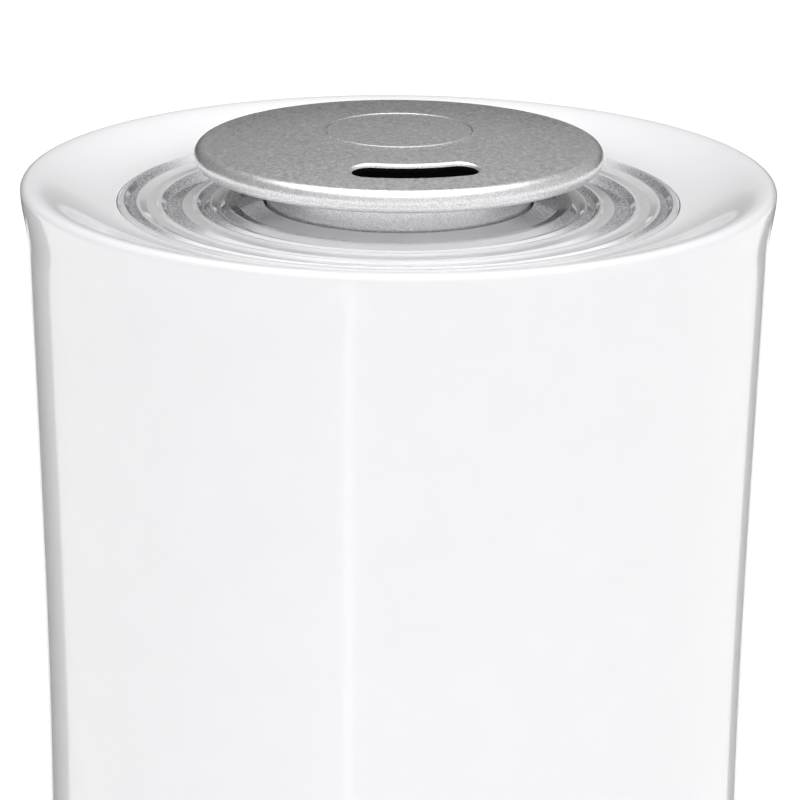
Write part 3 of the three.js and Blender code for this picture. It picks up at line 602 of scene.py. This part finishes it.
def nozzle_cover():
    """The domed shell with its bullnose edge, the badge's recess and the mist slot."""
    recess_floor = dome(BADGE_RADIUS)[1] - BADGE_DEPTH
    rim_inner = 57.6
    recess_edge = dome(BADGE_RADIUS + 0.35, -BEAD)
    outline = [(0, recess_floor), (BADGE_RADIUS + 0.35, recess_floor)]
    outline += [(*recess_edge, 0.2), (*dome(BADGE_RADIUS + 0.7, -BEAD), 0.3), dome(BADGE_RADIUS + 1.1)]
    outline += [dome(BADGE_RADIUS + 2 + (56.5 - BADGE_RADIUS) * i / 24) for i in range(24)]
    outline += arc((DISC_EDGE, DISC_MIDDLE), DISC_ROUND, 80, -90, 24)
    outline += [(rim_inner, DISC_MIDDLE - DISC_ROUND), (rim_inner, DISC_MIDDLE, 1.0)]
    outline += [dome(56 - 32 * i / 10, COVER_SHELL) for i in range(11)]
    outline += [(0, recess_floor - COVER_SHELL)]
    cover = lathe("disc_cover", from_crest(rounded(outline, closed=False)), closed=False)
    finished(smooth(cut(cover, slot_cutter()), 40), "nozzle_cover")
    cover.visible_shadow = False  # the insert under the disc stays as light as the rest of it
    cover.visible_diffuse = False
    # the insides under the shell take the near-black painted shade
    cover.data.materials.append(INSIDE_PAINTED_SHADE)
    for face in cover.data.polygons:
        x, y, z = face.center / MM
        r = math.hypot(x, y)
        depth = CREST + dome(r)[1] - z
        face.material_index = int(r < rim_inner and depth > 1.3)
    return cover


def nozzle_badge():
    """The round medallion, a hair proud of the groove round it."""
    low = dome(BADGE_RADIUS)[1] - BADGE_DEPTH + 0.3
    outline = [(0, low), (BADGE_RADIUS, low), (*dome(BADGE_RADIUS), 0.3)]
    outline += [dome(BADGE_RADIUS * (1 - i / 10)) for i in range(1, 11)]
    made = lathe("disc_badge", from_crest(rounded(outline, closed=False)), closed=False)
    return finished(smooth(made), "nozzle_badge")


def nozzle_neck():
    """The disc's lower plate and the neck that turns in the socket."""
    neck = 40.4
    bore = 37.5
    plate = 57.3
    low = DISC_MIDDLE - DISC_ROUND
    outline = [
        (bore, -20.0, 0.4),
        (neck, -20.0, 0.6),
        (neck, low, 1.2),
        (plate, low, 0.2),
        (plate, low + 2, 0.2),
        (bore, low + 2, 0.4),
    ]
    made = lathe("disc_neck", from_crest(rounded(outline)))
    finished(smooth(made), "nozzle_neck")
    # the plate's top and the bore take the near-black painted shade, seen through the slot
    made.data.materials.append(INSIDE_PAINTED_SHADE)
    for face in made.data.polygons:
        x, y, z = face.center / MM
        above_plate = z > CREST + low + 1.6
        face.material_index = int(above_plate or math.hypot(x, y) < bore + 0.5)
    return made


# ---------------------------------------------------------------- tank bottom
PLATE_HIGH = top("filling_neck")
PLATE_LOW = PLATE_HIGH - WALL
CAP_RADIUS = radius_of("tank_cap")


def turned_piece(node, outline, centre=(0, 0), segments=SMALL_ROUND, closed=True):
    made = lathe(f"{node}_fine", rounded(outline, closed), segments, centre, closed)
    return finished(smooth(made), node)


def rod(name, radius, low, high, centre=(0, 0), segments=SMALL_ROUND):
    outline = [(0, low), (radius, low), (radius, high), (0, high)]
    return lathe(name, outline, segments, centre, closed=False)


def tank_floor():
    edge = radius_of("tank_floor")
    ring = 99.0
    ring_wall = 2.5
    low = bottom("tank_floor")
    outline = [
        (0, PLATE_LOW),
        (ring - ring_wall, PLATE_LOW, 1.0),
        (ring - ring_wall, low, 0.8),
        (ring, low, 0.8),
        (ring, PLATE_LOW, 1.0),
        (edge, PLATE_LOW, 0.6),
        (edge, PLATE_HIGH, 0.6),
        (0, PLATE_HIGH),
    ]
    plate = lathe("tank_floor_fine", rounded(outline, closed=False), closed=False)
    grip_low, grip_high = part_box("grip_pocket")
    margin = 0.3
    cut(
        plate,
        rod("funnel_hole", radius_of("mist_funnel") + margin, PLATE_LOW - 1, PLATE_HIGH + 1),
        rod("neck_hole", radius_of("filling_neck") + margin, PLATE_LOW - 1, PLATE_HIGH + 1, (CAP_X, 0)),
        prism(
            "pocket_hole",
            rectangle(
                grip_low.x / MM - margin,
                grip_high.x / MM + margin,
                grip_low.y / MM - margin,
                grip_high.y / MM + margin,
                8,
            ),
            PLATE_LOW - 1,
            PLATE_HIGH + 1,
        ),
    )
    return finished(smooth(plate), "tank_floor")


def mist_funnel():
    outer = radius_of("mist_funnel")
    funnel_wall = 2.5
    low = bottom("mist_funnel")
    high = top("mist_funnel")
    outline = [
        (outer - funnel_wall, low, 0.8),
        (outer, low, 0.8),
        (outer, PLATE_HIGH, 0.4),
        (SLEEVE_OUTER, PLATE_HIGH),
        (SLEEVE_OUTER, high, 0.5),
        (SLEEVE_INNER, high, 0.5),
        (SLEEVE_INNER, PLATE_HIGH),
        (BORE, PLATE_HIGH, 0.3),
        (BORE, PLATE_LOW, 0.3),
        (outer - funnel_wall, PLATE_LOW),
    ]
    return turned_piece("mist_funnel", outline)


def tube(node, inner, outer, centre=(0, 0), rounding=0.5):
    low = bottom(node)
    high = top(node)
    corners = [(inner, low), (outer, low), (outer, high), (inner, high)]
    return turned_piece(node, [(r, z, rounding) for r, z in corners], centre)


def tank_cap():
    """The screw cap, with eight finger grooves round its side."""
    low = bottom("tank_cap")
    high = top("tank_cap")
    shoulder = low + 8
    skirt_inner = NECK_RADIUS + 0.6
    valve_hole = 7.0
    outline = [
        (valve_hole, low, 0.6),
        (CAP_RADIUS, low, 1.6),
        (CAP_RADIUS, high, 0.8),
        (skirt_inner, high, 0.4),
        (skirt_inner, shoulder),
        (BORE, shoulder, 0.3),
        (BORE, low + WALL),
        (valve_hole, low + WALL, 0.4),
    ]
    cap = lathe("tank_cap_fine", rounded(outline), SMALL_ROUND, (CAP_X, 0))
    grooves = []
    for i in range(8):
        angle = (i + 0.5) * math.pi / 4
        reach = CAP_RADIUS + 1.4
        place = (CAP_X + reach * math.cos(angle), reach * math.sin(angle))
        grooves.append(rod("groove", 2.4, low - 1, high + 1, place, 32))
    return finished(smooth(cut(cap, *grooves)), "tank_cap")


tank_shell()
ring_insert()
nozzle_cover()
nozzle_badge()
nozzle_neck()
tank_floor()
mist_funnel()
tube("filling_neck", BORE, NECK_RADIUS, (CAP_X, 0))
tube("mist_chimney", BORE, radius_of("mist_chimney"))
tank_cap()

# ---------------------------------------------------------------- base
DECK_LOW = bottom("base_deck")
DECK_HIGH = DECK_LOW + 3
POOL_WALL = 2.5
POOL_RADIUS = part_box("water_basin")[1].y / MM - POOL_WALL
POOL_FLOOR = 84.0
WELL_RADIUS = 25.0
WELL_FLOOR = bottom("water_basin") + POOL_WALL
DISC_HOLE = 12.5
REGISTER_INNER = 100.0  # the ring on the deck that locates the tank
REGISTER_OUTER = 102.5
REGISTER_TOP = 113.0
SPOUT_INNER = 11.5
SPOUT_OUTER = 14.0
PANEL_WIDTH = 98.0
PANEL_TALL = 46.0
BUTTONS = ("mist_button", "power_button", "humidity_button")
BUTTON_RADIUS = 7.2
INLET_Z = centre_of("power_inlet").z / MM
BEFORE_PANEL = -125.0  # cutters through the panel run between these depths
BEHIND_PANEL = -70.0


def pool_outline(radius):
    return arc((CAP_X, 0), radius, -90, 90, 48) + arc((0, 0), radius, 90, 270, 48)


def panel_outline(margin):
    half = PANEL_WIDTH / 2 + margin
    tall = PANEL_TALL / 2 + margin
    return rectangle(-half, half, PANEL_Z - tall, PANEL_Z + tall, 6 + margin, steps=10)


def round_outline(x, z, radius, steps=64):
    return arc((x, z), radius, 0, 360, steps)[:-1]


def base_housing():
    """The base's wall, with the panel's opening in front and the vents and inlet hole at the back."""
    outline = [
        (inner_radius(HOUSING_BOTTOM), HOUSING_BOTTOM, 0.4),
        (wall_radius(HOUSING_BOTTOM), HOUSING_BOTTOM, 1.2),
        (wall_radius(SEAM), SEAM, 0.6),
        (inner_radius(SEAM), SEAM, 0.4),
        (inner_radius(103.3), 103.3),
        (102.8, 103.3, 0.4),
        (102.8, 101.0),
        (inner_radius(97), 97.0),
    ]
    wall = lathe("base_wall", rounded(outline))
    vents = []
    for i in range(7):
        x = (i - 3) * 8
        vents.append(prism("vent", rectangle(x - 1.5, x + 1.5, 52, 78, 1.45), 95, 120, "Y"))
    cut(
        wall,
        *vents,
        prism("panel_opening", panel_outline(0), -120, -80, "Y"),
        prism("inlet_hole", round_outline(0, INLET_Z, 6.4), 95, 120, "Y"),
    )
    return finished(smooth(soften(wall, 0.35, 50), 45), "base_housing")


def curved_plate(name, outline, shallow, deep):
    """The part of the base's curved wall inside an outline, between two depths under its surface."""
    low = 30.0
    high = 90.0
    section = [
        (wall_radius(low) - deep, low),
        (wall_radius(low) - shallow, low),
        (wall_radius(high) - shallow, high),
        (wall_radius(high) - deep, high),
    ]
    plate = lathe(name, section, 384)
    return combine(plate, "INTERSECT", prism("outline", outline, BEFORE_PANEL, BEHIND_PANEL, "Y"))


def front_bezel():
    plate = curved_plate("panel_plate", panel_outline(-0.3), 0.4, 3.8)
    window_low, window_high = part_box("display_window")
    window = rectangle(
        window_low.x / MM - 0.3,
        window_high.x / MM + 0.3,
        window_low.z / MM - 0.3,
        window_high.z / MM + 0.3,
        3.0,
        steps=8,
    )
    holes = [prism("window_hole", window, BEFORE_PANEL, BEHIND_PANEL, "Y")]
    for button in BUTTONS:
        centre = centre_of(button) / MM
        outline = round_outline(centre.x, centre.z, BUTTON_RADIUS + 0.4)
        holes.append(prism("button_hole", outline, -125, -80, "Y"))
    cut(plate, *holes)
    return finished(smooth(soften(plate, 0.4, 50), 45), "front_bezel", material=PANEL_SILVER)


def push_button(node):
    """A round button that follows the panel's curve."""
    centre = centre_of(node) / MM
    head = curved_plate(f"{node}_fine", round_outline(centre.x, centre.z, BUTTON_RADIUS), -0.3, 6)
    soften(head, 0.7, 50, 4)
    return finished(smooth(head, 45), node, material=PANEL_SILVER)


def display_window():
    low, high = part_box("display_window")
    outline = rectangle(low.x / MM, high.x / MM, low.z / MM, high.z / MM, 2.7, steps=8)
    made = curved_plate("window_pane", outline, 0.7, 2.6)
    return finished(smooth(soften(made, 0.25, 50), 45), "display_window")


def base_deck():
    """The deck that the tank stands on, with its locating ring and the air spout."""
    edge = radius_of("base_deck")
    spout_top = top("base_deck")
    outline = [
        (0, DECK_LOW),
        (edge, DECK_LOW, 0.5),
        (edge, DECK_HIGH, 0.5),
        (REGISTER_OUTER, DECK_HIGH, 0.5),
        (REGISTER_OUTER, REGISTER_TOP, 0.8),
        (REGISTER_INNER, REGISTER_TOP, 0.8),
        (REGISTER_INNER, DECK_HIGH, 0.8),
        (0, DECK_HIGH),
    ]
    deck = lathe("base_deck_fine", rounded(outline, closed=False), closed=False)
    join(deck, rod("spout", SPOUT_OUTER, DECK_HIGH - 1, spout_top, (FAN_X, 0)))
    cut(
        deck,
        prism("pool_hole", pool_outline(POOL_RADIUS + POOL_WALL + 0.3), DECK_LOW - 1, DECK_HIGH + 1),
        rod("spout_bore", SPOUT_INNER, DECK_LOW - 1, spout_top + 1, (FAN_X, 0)),
    )
    return finished(smooth(soften(deck, 0.35, 50), 45), "base_deck")


def water_basin():
    """The pool with the mist well in its floor, the pin for the valve and the float's post."""
    outer = pool_outline(POOL_RADIUS + POOL_WALL)
    basin = prism("water_basin_fine", outer, POOL_FLOOR - POOL_WALL, DECK_HIGH)
    join(basin, rod("well", WELL_RADIUS + POOL_WALL, WELL_FLOOR - POOL_WALL, POOL_FLOOR - 1))
    cut(
        basin,
        prism("pool", pool_outline(POOL_RADIUS), POOL_FLOOR, DECK_HIGH + 1),
        rod("well_hollow", WELL_RADIUS, WELL_FLOOR, POOL_FLOOR + 1),
        rod("disc_hole", DISC_HOLE, WELL_FLOOR - 4, WELL_FLOOR + 1),
    )
    float_place = centre_of("float_ring") / MM
    join(
        basin,
        rod("valve_pin", 2.5, POOL_FLOOR - 1, 90, (CAP_X, 0), 48),
        rod("float_post", 2.2, POOL_FLOOR - 1, 102, (float_place.x, float_place.y), 48),
    )
    return finished(smooth(soften(basin, 0.4, 50), 45), "water_basin")


def bottom_cover():
    """The bottom plate with its round air inlet grille, foot recesses and screw holes."""
    edge = radius_of("bottom_cover")
    low = bottom("bottom_cover")
    outline = [(0, low), (edge, low, 0.8), (edge, 7.0, 0.4), (0, 7.0)]
    cover = lathe("bottom_cover_fine", rounded(outline, closed=False), closed=False)
    tools = []
    for i in range(6):
        x = FAN_X + (i - 2.5) * 9
        reach = math.sqrt(29**2 - (x - FAN_X) ** 2)
        tools.append(prism("grille_slot", rectangle(x - 2.5, x + 2.5, -reach, reach, 2.45), 3, 8))
    for i in range(1, 5):
        foot = centre_of(f"foot_{i}") / MM
        screw = centre_of(f"cover_screw_{i}") / MM
        tools.append(rod("foot_recess", 8.3, 3, 5.2, (foot.x, foot.y), 64))
        tools.append(rod("screw_recess", 4.3, 3, 5.8, (screw.x, screw.y), 48))
    return finished(smooth(soften(cut(cover, *tools), 0.3, 50), 45), "bottom_cover")


def rubber_foot(node):
    centre = centre_of(node) / MM
    outline = [(0, 0.5), (5.2, 0.5, 0.5), (5.8, 0, 0.3), (7.2, 0, 0.4), (8, 0.8, 0.4), (8, 4.9), (0, 4.9)]
    return turned_piece(node, outline, (centre.x, centre.y), 64, closed=False)


def cover_screw(node):
    """A pan-head screw with a cross recess."""
    low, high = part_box(node)
    centre = (low + high) / 2 / MM
    low = low.z / MM
    outline = [(0, low), (3.9, low, 0.5), (3.9, low + 1.1), (1.6, low + 1.1), (1.6, high.z / MM, 0.6)]
    outline.append((0, high.z / MM))
    place = (centre.x, centre.y)
    screw = lathe(f"{node}_fine", rounded(outline, closed=False), 48, place, closed=False)
    arms = []
    for across, along in ((0.45, 2.2), (2.2, 0.45)):
        arm = rectangle(place[0] - across, place[0] + across, place[1] - along, place[1] + along, 0.15)
        arms.append(prism("cross", arm, low - 1, low + 0.8))
    return finished(smooth(cut(screw, *arms)), node)


def power_inlet():
    """The round socket at the back, with its flange and centre pin, turned round the Y axis."""
    low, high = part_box("power_inlet")
    near = low.y / MM
    face = high.y / MM
    outline = [
        (0, near),
        (6, near, 0.4),
        (6, 100.5),
        (9, 100.5, 0.4),
        (9, 104.4, 0.4),
        (6, 104.4),
        (6, face, 0.6),
        (3.3, face, 0.4),
        (3.3, face - 9),
        (1.1, face - 9),
        (1.1, face - 1.5, 0.4),
        (0, face - 1.5),
    ]
    made = lathe("power_inlet_fine", rounded(outline, closed=False), 64, closed=False)
    made.data.transform(Matrix.Translation((0, 0, INLET_Z * MM)) @ Matrix.Rotation(-math.pi / 2, 4, "X"))
    return finished(smooth(made), "power_inlet")


base_housing()
front_bezel()
display_window()
for button_node in BUTTONS:
    push_button(button_node)
base_deck()
water_basin()
bottom_cover()
for corner in range(1, 5):
    rubber_foot(f"foot_{corner}")
    cover_screw(f"cover_screw_{corner}")
power_inlet()

# ---------------------------------------------------------------- CAD nodes that stay
for node_name, node in frame["nodes"].items():
    if node.hide_render:
        continue
    node.data.materials.clear()
    node.data.materials.append(MATERIALS[SLOT_OF[node_name]])


# ---------------------------------------------------------------- floor, lights and camera
BEHIND = 0.22  # strength of the studio's light from behind, from the front and from overhead
AHEAD = 0.84
OVERHEAD = 2.5


def floor():
    bm = bmesh.new()
    bmesh.ops.create_grid(bm, x_segments=1, y_segments=1, size=40)
    made = new_object("floor", bm)
    made.data.materials.append(moulded("pale_floor", (0.97, 0.97, 0.97), 0.6, grain=200, depth=0.0))


def softbox(name, place, aim, size, power):
    """A rectangular area light at a place, looking at a point."""
    light = bpy.data.lights.new(name, "AREA")
    light.shape = "RECTANGLE"
    light.size, light.size_y = size
    light.energy = power
    made = bpy.data.objects.new(name, light)
    made.location = place
    made.visible_camera = False
    made.rotation_euler = (Vector(aim) - Vector(place)).to_track_quat("-Z", "Y").to_euler()
    bpy.context.scene.collection.objects.link(made)


def dark_card(name, x0, x1, y, low, high):
    """An upright card behind the tank that shows only in reflections, so the outline reads on white."""
    card = prism(name, rectangle(x0, x1, y, y + 4, 1), low, high)
    card.data.materials.append(moulded(f"{name}_felt", (0.02, 0.02, 0.02), 0.9))
    card.visible_camera = False
    card.visible_diffuse = False
    card.visible_shadow = False


def sky():
    """A plain studio: even light from all sides, a little dimmer behind, and a large soft overhead light."""
    world = bpy.data.worlds.new("studio")
    world.use_nodes = True
    tree = world.node_tree
    place = tree.nodes.new("ShaderNodeTexCoord")
    facing = tree.nodes.new("ShaderNodeVectorMath")
    facing.operation = "DOT_PRODUCT"
    facing.inputs[1].default_value = Vector((0.5, -1, 0)).normalized()
    sides = tree.nodes.new("ShaderNodeMapRange")
    sides.inputs["From Min"].default_value = -1
    sides.inputs["To Min"].default_value = BEHIND
    sides.inputs["To Max"].default_value = AHEAD
    split = tree.nodes.new("ShaderNodeSeparateXYZ")
    overhead = tree.nodes.new("ShaderNodeMapRange")
    overhead.interpolation_type = "SMOOTHSTEP"
    overhead.inputs["From Min"].default_value = 0.72
    overhead.inputs["From Max"].default_value = 0.97
    overhead.inputs["To Max"].default_value = OVERHEAD
    total = tree.nodes.new("ShaderNodeMath")
    total.operation = "ADD"
    tree.links.new(place.outputs["Generated"], facing.inputs[0])
    tree.links.new(place.outputs["Generated"], split.inputs["Vector"])
    tree.links.new(facing.outputs["Value"], sides.inputs["Value"])
    tree.links.new(split.outputs["Z"], overhead.inputs["Value"])
    tree.links.new(sides.outputs["Result"], total.inputs[0])
    tree.links.new(overhead.outputs["Result"], total.inputs[1])
    background = tree.nodes["Background"]
    background.inputs["Color"].default_value = (1, 1, 1, 1)
    tree.links.new(total.outputs["Value"], background.inputs["Strength"])
    bpy.context.scene.world = world


def camera():
    """The photograph's view: from a little above the crest, looking down at the tank's front."""
    distance = 4.5 * 2 * RIM_RADIUS * MM
    elevation = math.radians(13.8)
    pitch = math.radians(17.6)
    roll = math.radians(0.5)
    data = bpy.data.cameras.new("camera")
    data.sensor_width = 36
    data.lens = 152.3
    made = bpy.data.objects.new("camera", data)
    made.location = (0, -distance * math.cos(elevation), CREST * MM + distance * math.sin(elevation))
    yaw = math.radians(-0.056)
    turn = Matrix.Rotation(yaw, 4, "Z") @ Matrix.Rotation(math.pi / 2 - pitch, 4, "X")
    made.rotation_euler = (turn @ Matrix.Rotation(roll, 4, "Z")).to_euler()
    bpy.context.scene.collection.objects.link(made)
    bpy.context.scene.camera = made


floor()
sky()
softbox("strip", (-0.089, -0.404, 0.14), (-0.0136, -0.114, 0.14), (0.02, 0.26), 0.025)
dark_card("left_card", -260, -160, 120, 0, 350)
dark_card("right_card", 160, 205, 120, 0, 350)
dark_card("back_card", -250, 250, 250, 250, 385)
camera()
bpy.context.scene.view_settings.view_transform = "Standard"
